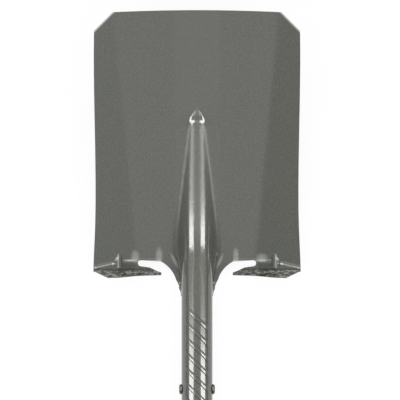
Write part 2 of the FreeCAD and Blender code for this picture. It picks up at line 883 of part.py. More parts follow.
def doc_value(text):
    """The value of an expression over the sheet."""
    return float(sheet.evalExpression(text.replace("Sizes.", "")))


def spin(body, sketch, kind="Revolution"):
    """Turns an outline round its sketch's first axis."""
    feature = body.newObject("PartDesign::" + kind, sketch.Name + "_turned")
    feature.Profile = sketch
    feature.ReferenceAxis = (sketch, ["H_Axis"])
    feature.Angle = 360.0
    sketch.Visibility = False
    return feature


def turned(body, name, role, points, shift="0", kind="Revolution"):
    """An outline and its turned feature in one go."""
    sketch = new_sketch(body, name, role, shift)
    closed_outline(sketch, points)
    doc.recompute()
    feature = spin(body, sketch, kind)
    doc.recompute()
    return feature


def edges_where(shape, test):
    """Names of the edges that pass a test."""
    return [f"Edge{n}" for n, edge in enumerate(shape.Edges, start=1) if test(edge)]


def rounded(body, base, names, radius):
    """A fillet on the named edges, its radius bound to the sheet."""
    feature = body.newObject("PartDesign::Fillet", body.Name + "_round")
    feature.Base = (base, names)
    feature.Radius = doc_value(radius)
    feature.setExpression("Radius", radius)
    body.Tip = feature
    doc.recompute()
    return feature


def ring_outline(length, inner, outer):
    return [("0", inner), ("0", outer), (length, outer), (length, inner)]


def cross_cut(body, name, centre, radius, reach):
    """A hole across the handle: a round pocket through both sides."""
    sketch = body.newObject("Sketcher::SketchObject", name)
    sketch.AttachmentSupport = [(origin_plane(body, "YZ_Plane"), "")]
    sketch.MapMode = "FlatFace"
    circle = Part.Circle(Vector(doc_value(centre), 0, 0), Vector(0, 0, 1), doc_value(radius))
    sketch.addGeometry(circle, False)
    sketch.addConstraint(Sketcher.Constraint("PointOnObject", 0, 3, -1))
    place = sketch.addConstraint(Sketcher.Constraint("DistanceX", -1, 1, 0, 3, doc_value(centre)))
    sketch.renameConstraint(place, "centre")
    sketch.setExpression("Constraints.centre", centre)
    place = sketch.addConstraint(Sketcher.Constraint("Radius", 0, doc_value(radius)))
    sketch.renameConstraint(place, "bore")
    sketch.setExpression("Constraints.bore", radius)
    doc.recompute()
    pocket = body.newObject("PartDesign::Pocket", name + "_cut")
    pocket.Profile = sketch
    pocket.Midplane = True
    pocket.Length = doc_value(reach)
    pocket.setExpression("Length", reach)
    sketch.Visibility = False
    doc.recompute()
    return pocket


# Shaft: a fibreglass tube from inside the socket to the grip's hub
shaft_length = f"({HEEL} - Sizes.shaft_station - ({CROSSBAR} + {HUB} + Sizes.hub_depth))"
shaft_start = f"({CROSSBAR} + {HUB} + Sizes.hub_depth)"
shaft = new_body("shaft", y=shaft_start)
turned(
    shaft,
    "shaft_outline",
    "YZ_Plane",
    ring_outline(shaft_length, f"{SHAFT_RADIUS} - Sizes.shaft_wall", SHAFT_RADIUS),
)
RIVET_HOLE = "(Sizes.rivet_radius + Sizes.rivet_clearance)"
PIN_HOLE = "(Sizes.pin_radius + Sizes.rivet_clearance)"
rivet_places = [
    "(Sizes.socket_length - Sizes.rivet_end_margin - Sizes.rivet_spacing)",
    "(Sizes.socket_length - Sizes.rivet_end_margin)",
]
pin_places = ["Sizes.pin_first_station", "(Sizes.pin_first_station + Sizes.pin_spacing)"]
for number, place in enumerate(rivet_places, start=1):
    centre = f"({HEEL} - {place} - {shaft_start})"
    cross_cut(shaft, f"shaft_rivet_hole_{number}", centre, RIVET_HOLE, "4 * Sizes.socket_radius")
for number, place in enumerate(pin_places, start=1):
    cross_cut(shaft, f"shaft_pin_hole_{number}", place, PIN_HOLE, "4 * Sizes.socket_radius")

# Core: the rod that keeps the rivets from crushing the shaft
core_radius = f"({SHAFT_RADIUS} - Sizes.shaft_wall - Sizes.core_clearance)"
core_start = f"({HEEL} - Sizes.socket_length - Sizes.core_overrun)"
core_length = "(Sizes.socket_length + Sizes.core_overrun - Sizes.shaft_station)"
shaft_core = new_body("shaft_core", y=core_start)
core_outline = [("0", "0"), ("0", core_radius), (core_length, core_radius)]
turned(shaft_core, "core_outline", "YZ_Plane", core_outline + [(core_length, "0")])
for number, place in enumerate(rivet_places, start=1):
    centre = f"({HEEL} - {place} - {core_start})"
    cross_cut(shaft_core, f"core_rivet_hole_{number}", centre, RIVET_HOLE, "4 * Sizes.socket_radius")

# Plug: the same at the grip's end of the shaft
grip_plug = new_body("grip_plug", y=shaft_start)
plug_outline = [("0", "0"), ("0", core_radius), ("Sizes.plug_length", core_radius)]
turned(grip_plug, "plug_outline", "YZ_Plane", plug_outline + [("Sizes.plug_length", "0")])
for number, place in enumerate(pin_places, start=1):
    cross_cut(grip_plug, f"plug_pin_hole_{number}", place, PIN_HOLE, "4 * Sizes.socket_radius")

# Collar over the mouth of the socket
collar_start = f"({HEEL} - Sizes.socket_length + Sizes.collar_overlap - Sizes.collar_length)"
collar = new_body("socket_collar", y=collar_start)
collar_bore = "(Sizes.socket_radius + Sizes.collar_clearance)"
collar_outer = f"({collar_bore} + Sizes.collar_wall)"
collar_neck = f"({SHAFT_RADIUS} + Sizes.collar_clearance)"
collar_rear = "(Sizes.collar_length - Sizes.collar_overlap - Sizes.collar_clearance)"
turned(
    collar,
    "collar_outline",
    "YZ_Plane",
    [
        ("0", collar_neck),
        ("0", f"{collar_neck} + Sizes.collar_wall"),
        ("Sizes.collar_nose", f"{collar_outer} - Sizes.collar_wall / 3"),
        ("(Sizes.collar_nose * 2)", collar_outer),
        ("Sizes.collar_length", collar_outer),
        ("Sizes.collar_length", collar_bore),
        (collar_rear, collar_bore),
        (collar_rear, collar_neck),
    ],
)

# Cross rivets through the socket
rivet_half = "(Sizes.socket_radius + Sizes.rivet_head_height)"
rivet_shank_end = "(Sizes.rivet_head_height + 2 * Sizes.socket_radius)"
rivet_bodies = []
for number, place in enumerate(rivet_places, start=1):
    rivet = new_body(f"rivet_{number}", x=f"-{rivet_half}", y=f"({HEEL} - {place})")
    spun = turned(
        rivet,
        f"rivet_outline_{number}",
        "XY_Plane",
        [
            ("0", "0"),
            ("0", "Sizes.rivet_head_radius"),
            ("Sizes.rivet_head_height", "Sizes.rivet_head_radius"),
            ("Sizes.rivet_head_height", "Sizes.rivet_radius"),
            (rivet_shank_end, "Sizes.rivet_radius"),
            (rivet_shank_end, "Sizes.rivet_head_radius"),
            (f"2 * {rivet_half}", "Sizes.rivet_head_radius"),
            (f"2 * {rivet_half}", "0"),
        ],
    )
    outer_end = doc_value(rivet_half)

    def rivet_crown(edge):
        centre = edge.BoundBox.Center
        outermost = abs(abs(centre.x - outer_end) - outer_end) < thickness / 10
        return edge.Length > size["rivet_head_radius"] and outermost

    rounded(rivet, spun, edges_where(spun.Shape, rivet_crown), "Sizes.rivet_head_round")
    rivet_bodies.append(rivet)
socket_rivets = doc.addObject("Part::Compound", "socket_rivets")
socket_rivets.Links = rivet_bodies
socket_rivets.Label = "socket_rivets"

# Grip: the moulded yoke, with its ferrule, arms, end bosses and cross bar
yoke = new_body("grip_yoke", y=CROSSBAR)
arms = new_sketch(yoke, "arm_outline", "XY_Plane", "-Sizes.grip_half_width")
inner_side = "(Sizes.grip_half_width - Sizes.boss_width)"
hub_end = f"({HUB} + Sizes.hub_depth)"
closed_outline(
    arms,
    [
        ("0", "0"),
        ("0", "Sizes.arm_shoulder"),
        ("(Sizes.grip_half_width - Sizes.hub_half_width)", hub_end),
        ("(Sizes.grip_half_width + Sizes.hub_half_width)", hub_end),
        ("(2 * Sizes.grip_half_width)", "Sizes.arm_shoulder"),
        ("(2 * Sizes.grip_half_width)", "0"),
        (f"(Sizes.grip_half_width + {inner_side})", "0"),
        (f"(Sizes.grip_half_width + {inner_side})", "Sizes.arm_waist"),
        ("(Sizes.grip_half_width + Sizes.hub_inner_half_width)", HUB),
        ("(Sizes.grip_half_width - Sizes.hub_inner_half_width)", HUB),
        ("Sizes.boss_width", "Sizes.arm_waist"),
        ("Sizes.boss_width", "0"),
    ],
)
doc.recompute()
arm_pad = yoke.newObject("PartDesign::Pad", "arm_pad")
arm_pad.Profile = arms
arm_pad.Midplane = True
arm_pad.Length = size["arm_thickness"]
arm_pad.setExpression("Length", "Sizes.arm_thickness")
arms.Visibility = False
doc.recompute()


def shoulder_corner(edge):
    """The upright edges where the arms bend: outside the shoulders and inside the hub."""
    box = edge.BoundBox
    upright = box.ZLength > size["arm_thickness"] * 0.9
    between = size["arm_waist"] * 0.5 < box.Center.y < doc_value(HUB) * 1.02
    return upright and between


shoulders = edges_where(arm_pad.Shape, shoulder_corner)
corners = rounded(yoke, arm_pad, shoulders, "Sizes.arm_corner_round")


def arm_rim(edge):
    """The long edges of the arms' upper and lower faces."""
    box = edge.BoundBox
    level = box.ZLength < thickness / 10
    return level and box.YMax > thickness and box.YMin < doc_value(hub_end) - thickness


rounded(yoke, corners, edges_where(corners.Shape, arm_rim), "Sizes.arm_edge_round")
turned(
    yoke,
    "crossbar_outline",
    "XY_Plane",
    [
        ("0", "0"),
        ("0", f"{AXIS} - Sizes.boss_round"),
        ("Sizes.boss_round * 0.3", f"{AXIS} - Sizes.boss_round * 0.3"),
        ("Sizes.boss_round", AXIS),
        ("Sizes.boss_width - Sizes.boss_round * 0.5", AXIS),
        ("Sizes.boss_width", f"{AXIS} - Sizes.boss_round * 0.5"),
        ("Sizes.boss_width", "Sizes.crossbar_radius"),
        ("2 * Sizes.grip_half_width - Sizes.boss_width", "Sizes.crossbar_radius"),
        ("2 * Sizes.grip_half_width - Sizes.boss_width", f"{AXIS} - Sizes.boss_round * 0.5"),
        ("2 * Sizes.grip_half_width - Sizes.boss_width + Sizes.boss_round * 0.5", AXIS),
        ("2 * Sizes.grip_half_width - Sizes.boss_round", AXIS),
        ("2 * Sizes.grip_half_width - Sizes.boss_round * 0.3", f"{AXIS} - Sizes.boss_round * 0.3"),
        ("2 * Sizes.grip_half_width", f"{AXIS} - Sizes.boss_round"),
        ("2 * Sizes.grip_half_width", "0"),
    ],
    shift="-Sizes.grip_half_width",
)
ferrule_start = f"({hub_end} - Sizes.hub_depth * 0.6)"
turned(
    yoke,
    "ferrule_outline",
    "YZ_Plane",
    [
        (ferrule_start, "0"),
        (ferrule_start, f"{AXIS} - Sizes.boss_round * 0.5"),
        (f"{ferrule_start} + Sizes.boss_round", AXIS),
        (f"{FERRULE_END} - Sizes.ferrule_taper_length", AXIS),
        (FERRULE_END, f"{FERRULE_BORE} + Sizes.ferrule_mouth_wall"),
        (FERRULE_END, "0"),
    ],
)
turned(
    yoke,
    "ferrule_bore",
    "YZ_Plane",
    [
        (hub_end, "0"),
        (hub_end, FERRULE_BORE),
        (f"{FERRULE_END} + Sizes.boss_round", FERRULE_BORE),
        (f"{FERRULE_END} + Sizes.boss_round", "0"),
    ],
    kind="Groove",
)
rod_bore = "(Sizes.rod_radius + Sizes.rod_clearance)"
cap_seat = "(Sizes.cap_radius + Sizes.cap_clearance)"
turned(
    yoke,
    "rod_bore",
    "XY_Plane",
    [
        ("0", "0"),
        ("0", cap_seat),
        ("Sizes.cap_depth", cap_seat),
        ("Sizes.cap_depth", rod_bore),
        ("2 * Sizes.grip_half_width - Sizes.cap_depth", rod_bore),
        ("2 * Sizes.grip_half_width - Sizes.cap_depth", cap_seat),
        ("2 * Sizes.grip_half_width", cap_seat),
        ("2 * Sizes.grip_half_width", "0"),
    ],
    shift="-Sizes.grip_half_width",
    kind="Groove",
)
for number, place in enumerate(pin_places, start=1):
    cross_cut(yoke, f"yoke_pin_hole_{number}", f"({hub_end} + {place})", PIN_HOLE, f"4 * {AXIS}")

# Soft sleeve on the cross bar
sleeve_length = "(2 * Sizes.grip_half_width - 2 * Sizes.boss_width - 2 * Sizes.sleeve_clearance)"
sleeve = new_body("grip_sleeve", x=f"-{sleeve_length} / 2", y=CROSSBAR)
sleeve_ring = turned(
    sleeve,
    "sleeve_outline",
    "XY_Plane",
    ring_outline(sleeve_length, "Sizes.crossbar_radius + Sizes.sleeve_clearance", SLEEVE_RADIUS),
)


def sleeve_rim(edge):
    around = 2 * math.pi * doc_value(SLEEVE_RADIUS)
    return edge.Length > around * 0.99 and edge.BoundBox.XLength < thickness


rounded(sleeve, sleeve_ring, edges_where(sleeve_ring.Shape, sleeve_rim), "Sizes.sleeve_round")

# Steel rod through the cross bar, between its two caps
rod_length = "(2 * Sizes.grip_half_width - 2 * Sizes.cap_depth)"
rod = new_body("crossbar_rod", x=f"-{rod_length} / 2", y=CROSSBAR)
rod_outline = [("0", "0"), ("0", "Sizes.rod_radius"), (rod_length, "Sizes.rod_radius")]
turned(rod, "rod_outline", "XY_Plane", rod_outline + [(rod_length, "0")])

# Caps over the rod's ends, rounded on the outside
right_cap_start = "Sizes.grip_half_width - Sizes.cap_depth"
cap_places = [
    ("left", "-Sizes.grip_half_width", 0.0),
    ("right", right_cap_start, size["cap_depth"]),
]
cap_bodies = []
for side, cap_start, outer_face in cap_places:
    cap = new_body(f"cap_{side}", x=cap_start, y=CROSSBAR)
    cap_outline = [("0", "0"), ("0", "Sizes.cap_radius"), ("Sizes.cap_depth", "Sizes.cap_radius")]
    disc = turned(
        cap,
        f"cap_outline_{side}",
        "XY_Plane",
        cap_outline + [("Sizes.cap_depth", "0")],
    )

    def cap_rim(edge):
        outermost = abs(edge.BoundBox.Center.x - outer_face) < thickness / 10
        return edge.Length > size["cap_radius"] and outermost and edge.BoundBox.XLength < thickness / 10

    rounded(cap, disc, edges_where(disc.Shape, cap_rim), "Sizes.cap_round")
    cap_bodies.append(cap)
crossbar_caps = doc.addObject("Part::Compound", "crossbar_caps")
crossbar_caps.Links = cap_bodies
crossbar_caps.Label = "crossbar_caps"

# Pins that hold the ferrule on the shaft
pin_bodies = []
pin_half = f"({AXIS} - Sizes.pin_recess)"
for number, place in enumerate(pin_places, start=1):
    pin = new_body(f"pin_{number}", x=f"-{pin_half}", y=f"({CROSSBAR} + {hub_end} + {place})")
    pin_outline = [("0", "0"), ("0", "Sizes.pin_radius"), (f"2 * {pin_half}", "Sizes.pin_radius")]
    turned(pin, f"pin_outline_{number}", "XY_Plane", pin_outline + [(f"2 * {pin_half}", "0")])
    pin_bodies.append(pin)
grip_pins = doc.addObject("Part::Compound", "grip_pins")
grip_pins.Links = pin_bodies
grip_pins.Label = "grip_pins"

doc.recompute()

NODES = [
    blade,
    back_plate,
    back_plate_weld,
    socket_seam_weld,
    socket_rivets,
    shaft,
    shaft_core,
    grip_plug,
    collar,
    yoke,
    sleeve,
    rod,
    crossbar_caps,
    grip_pins,
]
for item in doc.Objects:
    if "Invalid" in item.State or "Error" in item.State:
        raise RuntimeError(f"{item.Label} did not build: {item.State}")
for node in NODES:
    shape = node.Shape
    if shape.isNull() or not shape.isValid() or not shape.Solids:
        raise RuntimeError(f"{node.Label} has no valid solid")
    shape.exportStep(f"parts/{node.Label}.step")
    print(node.Label, len(shape.Solids), round(shape.Volume / 1000, 2))
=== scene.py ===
"""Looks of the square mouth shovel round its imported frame: materials, light, floor and camera."""

import math

import bpy
import numpy as np
from mathutils import Matrix, Vector

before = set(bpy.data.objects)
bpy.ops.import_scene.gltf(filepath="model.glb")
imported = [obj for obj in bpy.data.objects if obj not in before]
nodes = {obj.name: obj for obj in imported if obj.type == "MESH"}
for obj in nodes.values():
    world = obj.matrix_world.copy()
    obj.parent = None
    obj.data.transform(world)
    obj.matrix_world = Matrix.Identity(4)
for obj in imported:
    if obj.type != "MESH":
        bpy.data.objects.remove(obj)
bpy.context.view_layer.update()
scene = bpy.context.scene

# Places on the shovel, in metres of the frame
HEEL_Y = 0.2258  # the bend between the pan and the steps
AXIS_Z = 0.0203  # the socket's axis over the floor
TUBE_RADIUS = 0.01818  # the socket's outside
RIBS_Y = 0.1775  # the forward end of the socket's ribs
STEP_CRINKLE_Y = 0.2158  # the forward end of the steps' crinkled part
STEP_INNER_X = (0.036, 0.040)  # the inner side of the steps
CHAMFER_SUM = (0.6136, 0.6146)  # x and y together, at the pan's cut corners
SOFT_FROG_Y = (0.245, 0.300)  # where the frog's lacquer turns softer
SOFT_FROG_X = (0.024, 0.034)  # how far it is softer to each side
NOSE_START_Y = (0.380, 0.388)
NOSE_END_Y = (0.3955, 0.3985)
HAIRLINE_HALF = (0.0001, 0.0006)
HAIRLINE_FADE = 0.006
EDGE_FADE = 0.001


class Tree:
    """A small helper round the node tree of a material or world."""

    def __init__(self, owner, output):
        owner.use_nodes = True
        self.tree = owner.node_tree
        self.tree.nodes.clear()
        self.output = self.add(output)

    def add(self, kind, **settings):
        node = self.tree.nodes.new(kind)
        for key, value in settings.items():
            if hasattr(node, key):
                setattr(node, key, value)
            else:
                node.inputs[key].default_value = value
        return node

    def link(self, start, end):
        self.tree.links.new(start, end)

    def remap(self, value, low, high, start=0.35, end=0.65, kind="LINEAR"):
        """Carries start to low and end to high, and stays level outside them."""
        node = self.add("ShaderNodeMapRange", interpolation_type=kind)
        node.inputs["From Min"].default_value = start
        node.inputs["From Max"].default_value = end
        node.inputs["To Min"].default_value = low
        node.inputs["To Max"].default_value = high
        self.link(value, node.inputs["Value"])
        return node.outputs["Result"]

    def parts(self, vector):
        node = self.add("ShaderNodeSeparateXYZ")
        self.link(vector, node.inputs[0])
        return node.outputs

    def maths(self, operation, first, second=0.0):
        node = self.add("ShaderNodeMath", operation=operation)
        for socket, value in zip(node.inputs, (first, second)):
            if isinstance(value, float):
                socket.default_value = value
            else:
                self.link(value, socket)
        return node.outputs[0]

    def plus(self, first, second):
        return self.maths("ADD", first, second)

    def minus(self, first, second):
        return self.maths("SUBTRACT", first, second)

    def times(self, first, second):
        return self.maths("MULTIPLY", first, second)

    def size_of(self, value):
        return self.maths("ABSOLUTE", value)

    def rising(self, value, span):
        """0 before the span, 1 past it."""
        return self.remap(value, 0.0, 1.0, *span)

    def falling(self, value, span):
        """1 before the span, 0 past it."""
        return self.remap(value, 1.0, 0.0, *span)

    def most(self, masks):
        total = masks[0]
        for mask in masks[1:]:
            total = self.maths("MAXIMUM", total, mask)
        return total


class Finish(Tree):
    """A piece's material: one Principled shader, laid out in the object's own metres."""

    def __init__(self, name):
        self.material = bpy.data.materials.new(name)
        super().__init__(self.material, "ShaderNodeOutputMaterial")
        self.shader = self.add("ShaderNodeBsdfPrincipled")
        self.link(self.shader.outputs["BSDF"], self.output.inputs["Surface"])
        self.place = self.add("ShaderNodeTexCoord").outputs["Object"]

    def stretched(self, scale):
        mapping = self.add("ShaderNodeMapping")
        mapping.inputs["Scale"].default_value = scale
        self.link(self.place, mapping.inputs["Vector"])
        return mapping.outputs["Vector"]

    def noise(self, scale, detail=2.0, roughness=0.5, stretch=None):
        node = self.add("ShaderNodeTexNoise")
        node.inputs["Scale"].default_value = scale
        node.inputs["Detail"].default_value = detail
        node.inputs["Roughness"].default_value = roughness
        self.link(self.stretched(stretch) if stretch else self.place, node.inputs["Vector"])
        return node.outputs["Fac"]

    def colours(self, value, stops):
        node = self.add("ShaderNodeValToRGB")
        ramp = node.color_ramp
        while len(ramp.elements) < len(stops):
            ramp.elements.new(0.5)
        for element, (place, colour) in zip(ramp.elements, stops):
            element.position = place
            element.color = (*colour, 1.0)
        self.link(value, node.inputs["Fac"])
        return node.outputs["Color"]

    def blend(self, first, second, factor):
        node = self.add("ShaderNodeMix", data_type="RGBA")
        if isinstance(factor, float):
            node.inputs[0].default_value = factor
        else:
            self.link(factor, node.inputs[0])
        self.link(first, node.inputs[6])
        self.link(second, node.inputs[7])
        return node.outputs[2]

    def spot(self, middle, reach, turn):
        """1 in the middle of a soft oval seen from above, 0 at its rim."""
        node = self.add("ShaderNodeMapping", vector_type="TEXTURE")
        node.inputs["Location"].default_value = (*middle, 0.0)
        node.inputs["Rotation"].default_value = (0.0, 0.0, math.radians(turn))
        node.inputs["Scale"].default_value = (*reach, 1.0e6)
        self.link(self.place, node.inputs["Vector"])
        length = self.add("ShaderNodeVectorMath", operation="LENGTH")
        self.link(node.outputs["Vector"], length.inputs[0])
        return self.falling(length.outputs["Value"], (0.35, 1.0))

    def hairline(self, x, y, middle, bend, ends):
        """A fine line along the handle, bowed sideways about its middle."""
        off = self.minus(y, middle[1])
        bow = self.times(self.times(off, off), bend)
        aside = self.size_of(self.minus(self.minus(x, middle[0]), bow))
        start = self.rising(y, (ends[0], ends[0] + HAIRLINE_FADE))
        end = self.falling(y, (ends[1] - HAIRLINE_FADE, ends[1]))
        return self.times(self.falling(aside, HAIRLINE_HALF), self.times(start, end))

    def rib_flank_shade(self, x, y, z):
        """Mask of painted shade: 1 on the steep flanks of the socket's ribs, 0 on the round of the
        tube.
        """
        out = self.add("ShaderNodeCombineXYZ")
        self.link(x, out.inputs[0])
        self.link(self.minus(z, AXIS_Z), out.inputs[2])
        outward = self.add("ShaderNodeVectorMath", operation="NORMALIZE")
        self.link(out.outputs[0], outward.inputs[0])
        same = self.add("ShaderNodeVectorMath", operation="DOT_PRODUCT")
        self.link(outward.outputs["Vector"], same.inputs[0])
        self.link(self.add("ShaderNodeNewGeometry").outputs["Normal"], same.inputs[1])
        steep = self.falling(same.outputs["Value"], (0.90, 0.985))
        return self.times(steep, self.falling(y, (RIBS_Y - EDGE_FADE, RIBS_Y)))

    def bump(self, *layers):
        """Bump layers, each a height and a depth in metres."""
        normal = None
        for height, depth in layers:
            node = self.add("ShaderNodeBump")
            node.inputs["Strength"].default_value = 1.0
            node.inputs["Distance"].default_value = depth
            self.link(height, node.inputs["Height"])
            if normal:
                self.link(normal, node.inputs["Normal"])
            normal = node.outputs["Normal"]
        self.link(normal, self.shader.inputs["Normal"])

    def set(self, **values):
        for key, value in values.items():
            name = key.replace("_", " ")
            if hasattr(value, "is_linked"):
                self.link(value, self.shader.inputs[name])
            else:
                self.shader.inputs[name].default_value = value


# Painted highlights, each spot: its middle in x and y, its half sizes, and its turn in degrees
PAN_HIGHLIGHTS = [
    ((-0.07285, 0.2305), (0.0062, 0.0095), 0.0),
    ((-0.04465, 0.231675), (0.0052, 0.0125), 0.0),
    ((0.045825, 0.231675), (0.0044, 0.0115), 0.0),
    ((0.076375, 0.229325), (0.0085, 0.0068), 0.0),
    ((-0.026438, 0.2258), (0.0024, 0.0125), 27.0),
    ((0.026438, 0.224625), (0.0024, 0.0125), -24.0),
]
# Painted highlights on the bends at the heel and on the steps' darts
BEND_HIGHLIGHTS = [
    ((-0.07755, 0.22627), (0.0105, 0.0013), 0.0),
    ((0.076375, 0.22627), (0.0080, 0.0013), 0.0),
    ((-0.09447, 0.228385), (0.0021, 0.0040), -38.0),
    ((-0.097995, 0.22251), (0.0032, 0.0018), 12.0),
    ((0.09447, 0.228385), (0.0020, 0.0036), 38.0),
    ((0.099405, 0.222275), (0.0024, 0.0018), 0.0),
    ((0.095645, 0.223215), (0.0013, 0.0013), 0.0),
    ((-0.119145, 0.21781), (0.0013, 0.0013), 0.0),
    ((0.11891, 0.217222), (0.0013, 0.0013), 0.0),
]
# Each hairline: its middle, its bend, and its ends in y
HAIRLINES = [
    ((-0.005522, 0.19055), 1.45, (0.158825, 0.2352)),
    ((0.007403, 0.182325), -2.64, (0.156475, 0.224625)),
]


def metallic_paint():
    """Grey metallic lacquer, crinkled on the steps, with painted highlights on bends, chamfer
    edges, pan spots and crinkle ridges, and painted shade in the crinkle hollows and on the socket
    ribs' flanks.
    """
    g = Finish("metallic_grey_paint")
    flakes = g.noise(850.0, 3.0, 0.75)
    cloud = g.noise(14.0, 3.0)
    tone = g.colours(flakes, [(0.32, (0.050, 0.053, 0.043)), (0.68, (0.118, 0.121, 0.106))])
    drift = g.colours(cloud, [(0.3, (0.086, 0.086, 0.076)), (0.7, (0.080, 0.087, 0.077))])
    body = g.blend(tone, drift, 0.15)
    # Painted highlight colour: light grey laid where light catches the bends, chamfer edges, pan
    # spots and crinkle ridges
    highlight_grey = g.colours(flakes, [(0.3, (0.30, 0.31, 0.29)), (0.7, (0.42, 0.43, 0.41))])
    tan = g.colours(flakes, [(0.3, (0.15, 0.12, 0.085)), (0.7, (0.19, 0.15, 0.105))])
    # Painted shade colour: near black laid in the crinkle hollows and on the ribs' flanks
    dark = g.colours(flakes, [(0.3, (0.014, 0.015, 0.012)), (0.7, (0.024, 0.025, 0.021))])

    x, y, z = g.parts(g.place)
    beside = g.size_of(x)
    low = g.falling(y, (STEP_CRINKLE_Y - EDGE_FADE, STEP_CRINKLE_Y + EDGE_FADE))
    crinkled = g.times(low, g.rising(beside, STEP_INNER_X))
    folds = g.noise(240.0, 3.0, 0.6, (0.35, 1.0, 0.6))
    # Painted highlight on the crinkles' ridges and painted shade in their hollows, on the steps'
    # lower part
    ridge_highlight = g.remap(g.size_of(g.minus(folds, 0.53)), 0.95, 0.0, 0.0, 0.045)
    hollow_shade = g.remap(folds, 0.75, 0.0, 0.36, 0.45)
    # Painted highlight along the pan's cut corner edges
    edge_highlight = g.remap(g.plus(beside, y), 0.0, 0.9, *CHAMFER_SUM)
    # Painted highlight spots on the pan above the heel bend
    pan_highlight = g.times(g.most([g.spot(*spot) for spot in PAN_HIGHLIGHTS]), 0.46)
    # Painted highlight spots on the heel bends and darts
    bend_highlight = g.most([g.spot(*spot) for spot in BEND_HIGHLIGHTS])
    # All the painted highlights together, drawn in the light grey
    painted_highlight = g.most([edge_highlight, g.times(crinkled, ridge_highlight), pan_highlight, bend_highlight])
    hairlines = g.most([g.hairline(x, y, *line) for line in HAIRLINES])
    lined = g.blend(g.blend(body, highlight_grey, painted_highlight), tan, hairlines)
    # Painted shade on the ribs' flanks and in the crinkle hollows
    painted_shade = g.most([g.rib_flank_shade(x, y, z), g.times(crinkled, hollow_shade)])
    g.set(Base_Color=g.blend(lined, dark, painted_shade))

    off_nose = g.most([g.falling(y, NOSE_START_Y), g.rising(y, NOSE_END_Y)])
    soft = g.times(g.times(g.rising(y, SOFT_FROG_Y), off_nose), g.falling(beside, SOFT_FROG_X))
    g.set(Metallic=0.25, Specular_IOR_Level=0.0, Coat_Weight=1.0, Coat_IOR=1.75)
    g.set(Roughness=g.remap(g.noise(900.0, 2.0), 0.48, 0.52))
    g.set(Coat_Roughness=g.remap(soft, 0.10, 0.29, 0.0, 1.0))
    pressed = g.times(crinkled, folds)
    g.bump((g.noise(330.0, 2.0), 0.000012), (flakes, 0.000010), (pressed, 0.008))
    return g.material


def bright_steel(name, dark, light):
    g = Finish(name)
    grain = g.noise(1400.0, 3.0)
    g.set(Base_Color=g.colours(grain, [(0.3, dark), (0.7, light)]))
    g.set(Metallic=1.0, Roughness=g.remap(g.noise(500.0, 2.0), 0.18, 0.3))
    g.bump((g.noise(800.0, 2.0), 0.00001))
    return g.material


def fibreglass():
    g = Finish("pultruded_fibreglass")
    streaks = g.noise(900.0, 3.0, 0.6, (1.0, 0.02, 1.0))
    stops = [(0.3, (0.016, 0.016, 0.017)), (0.7, (0.034, 0.034, 0.036))]
    g.set(Base_Color=g.colours(streaks, stops))
    g.set(Roughness=g.remap(streaks, 0.3, 0.42), Coat_Weight=0.2, Coat_Roughness=0.15)
    g.bump((streaks, 0.00002))
    return g.material


def turned_wood():
    g = Finish("turned_wood")
    grain = g.noise(300.0, 4.0, 0.6, (1.0, 0.06, 1.0))
    g.set(Base_Color=g.colours(grain, [(0.3, (0.42, 0.26, 0.13)), (0.7, (0.68, 0.50, 0.30))]))
    g.set(Roughness=g.remap(grain, 0.55, 0.75))
    g.bump((grain, 0.00005))
    return g.material


def moulded_plastic(name, dark, light, rough, depth, scale):
    g = Finish(name)
    grain = g.noise(scale, 2.0)
    g.set(Base_Color=g.colours(g.noise(40.0, 3.0), [(0.3, dark), (0.7, light)]))
    g.set(Roughness=g.remap(grain, rough - 0.05, rough + 0.05))
    g.bump((grain, depth))
    return g.material


paint = metallic_paint()
steel = bright_steel("bright_steel", (0.50, 0.50, 0.49), (0.66, 0.66, 0.65))
grip_black = moulded_plastic("grip_plastic", (0.026,) * 3, (0.038,) * 3, 0.5, 0.00003, 1600.0)
finishes = {
    "blade": paint,
    "back_plate": paint,
    "back_plate_weld": paint,
    "socket_seam_weld": paint,
    # The rivet heads get a darker copy of the bright steel, painted shade standing in for the dark
    # surroundings they reflect
    "socket_rivets": bright_steel("steel_with_painted_shade", (0.13, 0.13, 0.125), (0.20, 0.20, 0.19)),
    "shaft": fibreglass(),
    "shaft_core": turned_wood(),
    "grip_plug": turned_wood(),
    "socket_collar": grip_black,
    "grip_yoke": grip_black,
    "grip_sleeve": moulded_plastic("soft_rubber", (0.045,) * 3, (0.06,) * 3, 0.7, 0.00005, 1100.0),
    "crossbar_rod": steel,
    "crossbar_caps": moulded_plastic("cap_plastic", (0.04,) * 3, (0.05,) * 3, 0.3, 0.00001, 1800.0),
    "grip_pins": steel,
}
for name, material in finishes.items():
    mesh = nodes[name].data
    mesh.materials.clear()
    mesh.materials.append(material)


TUBE_SLACK = 0.00006
ROUND_COSINE = 0.985


def round_tube(mesh):
    """Gives the socket's round outside a true cylinder's normals, so its lights run straight."""
    count = len(mesh.loops)
    places = np.empty(len(mesh.vertices) * 3, dtype=np.float32)
    mesh.vertices.foreach_get("co", places)
    corners = np.empty(count, dtype=np.int32)
    mesh.loops.foreach_get("vertex_index", corners)
    normals = np.empty(count * 3, dtype=np.float32)
    mesh.corner_normals.foreach_get("vector", normals)
    normals = normals.reshape(-1, 3)
    place = places.reshape(-1, 3)[corners]
    away = place * (1.0, 0.0, 1.0) - (0.0, 0.0, AXIS_Z)
    reach = np.linalg.norm(away, axis=1)
    radial = away / np.maximum(reach, 1e-6)[:, None]
    on_tube = (place[:, 1] < HEEL_Y) & (np.abs(reach - TUBE_RADIUS) < TUBE_SLACK)
    on_tube &= (radial * normals).sum(1) > ROUND_COSINE
    normals[on_tube] = radial[on_tube]
    mesh.normals_split_custom_set(normals.tolist())


round_tube(nodes["blade"].data)


# Floor, world and lamps
FLOOR_SIZE = 120.0
FLOOR_WHITE = 0.92
FLOOR_GLOW = 0.9


